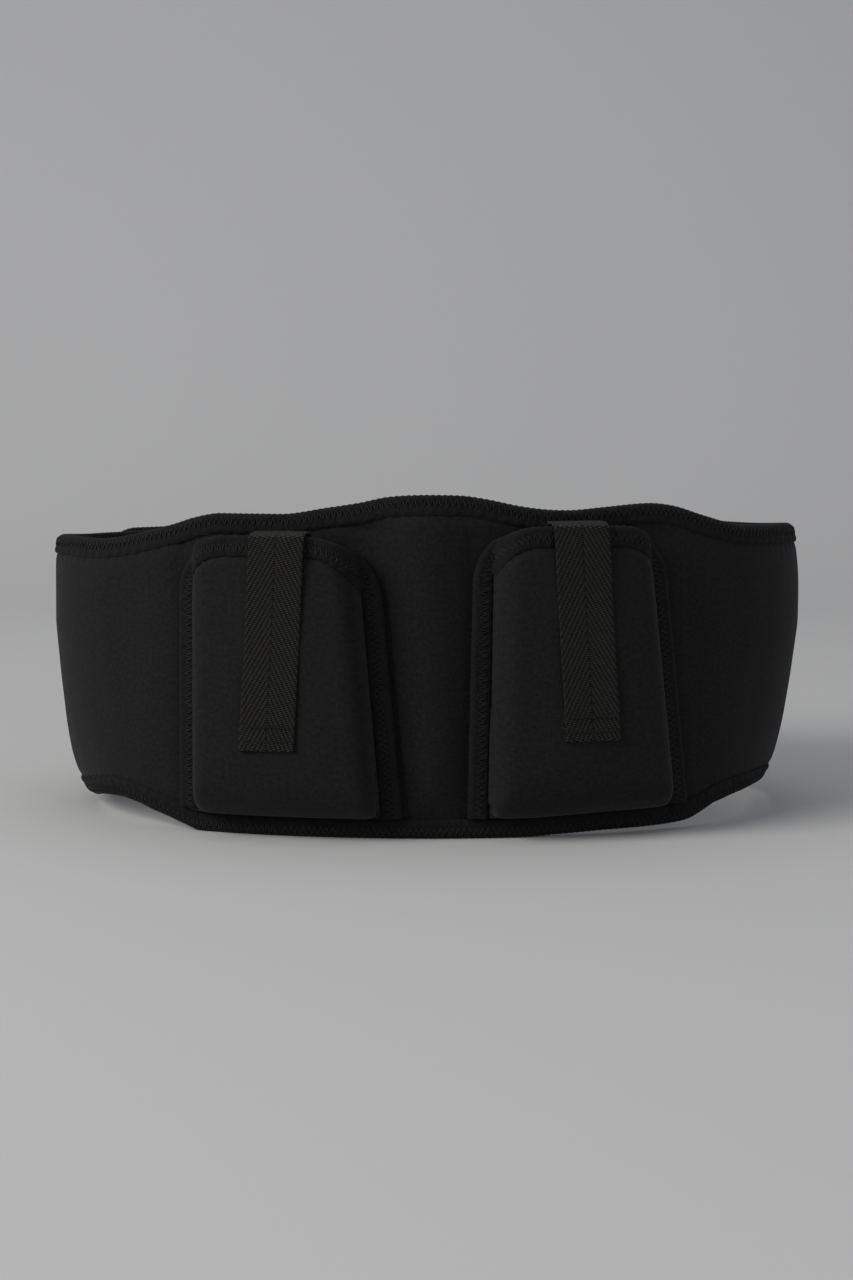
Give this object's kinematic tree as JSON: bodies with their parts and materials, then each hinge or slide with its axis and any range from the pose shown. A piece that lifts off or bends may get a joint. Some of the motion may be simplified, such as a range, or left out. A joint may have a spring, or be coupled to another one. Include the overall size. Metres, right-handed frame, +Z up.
{
  "type": "dive weight belt",
  "caption": "Wide neoprene waist belt closed into a loop, with front pockets that each hold a removable lead weight pack with a webbing pull tab.",
  "frame": {"origin": "bottom centre of the closed, empty belt's box as it stands on its front lower edge", "axes": "+X across the front from the left pocket to the right one, -Y is the pocket side, +Z up"},
  "size_m": [0.3659, 0.2441, 0.156],
  "materials": {
    "neoprene": "nylon-faced foam neoprene, matte with a soft sheen",
    "binding": "elastic edge binding with zigzag stitching, matte",
    "webbing": "herringbone twill tape, matte",
    "pouch": "plain woven nylon, satin",
    "lead": "cast lead, dull",
    "hook": "hook tape, matte",
    "loop": "loop tape, fuzzy"
  },
  "bodies": {
    "belt": {"main_panel": "neoprene", "top_binding": "binding", "bottom_binding": "binding", "left_pocket_panel": "neoprene", "left_pocket_binding": "binding", "right_pocket_panel": "neoprene", "right_pocket_binding": "binding"},
    "left_wing": {"left_wing_panel": "neoprene", "left_wing_binding": "binding", "hook_patch": "hook"},
    "right_wing": {"right_wing_panel": "neoprene", "right_wing_binding": "binding", "loop_patch": "loop"},
    "left_pack": {"left_pouch_back": "pouch", "left_pouch_front": "pouch", "left_lead_weight": "lead", "left_pull_anchor": "webbing"},
    "left_tab": {"left_pull_tab": "webbing"},
    "right_pack": {"right_pouch_back": "pouch", "right_pouch_front": "pouch", "right_lead_weight": "lead", "right_pull_anchor": "webbing"},
    "right_tab": {"right_pull_tab": "webbing"}
  },
  "joints": [
    {"name": "right_wing_flex", "type": "hinge", "parent": "belt", "child": "right_wing", "pos_m": [0.13535, -0.06436, 0], "axis": [0, 0, -1], "range_deg": [0, 70]},
    {"name": "left_wing_flex", "type": "hinge", "parent": "belt", "child": "left_wing", "pos_m": [-0.13465, -0.06436, 0], "axis": [0, 0, 1], "range_deg": [0, 35]},
    {"name": "left_pack_slide", "type": "slide", "parent": "belt", "child": "left_pack", "axis": [0, 0, 1], "range_m": [0, 0.135]},
    {"name": "left_tab_fold", "type": "hinge", "parent": "left_pack", "child": "left_tab", "pos_m": [-0.06577, -0.11806, 0.13925], "axis": [-0.9779, 0.2089, 0], "range_deg": [0, 165]},
    {"name": "right_pack_slide", "type": "slide", "parent": "belt", "child": "right_pack", "axis": [0, 0, 1], "range_m": [0, 0.135]},
    {"name": "right_tab_fold", "type": "hinge", "parent": "right_pack", "child": "right_tab", "pos_m": [0.06865, -0.11759, 0.14375], "axis": [-0.9763, -0.2163, 0], "range_deg": [0, 165]}
  ],
  "couplings": [
    {"joint": "left_wing_flex", "follows": "right_wing_flex", "ratio": 0.5}
  ]
}
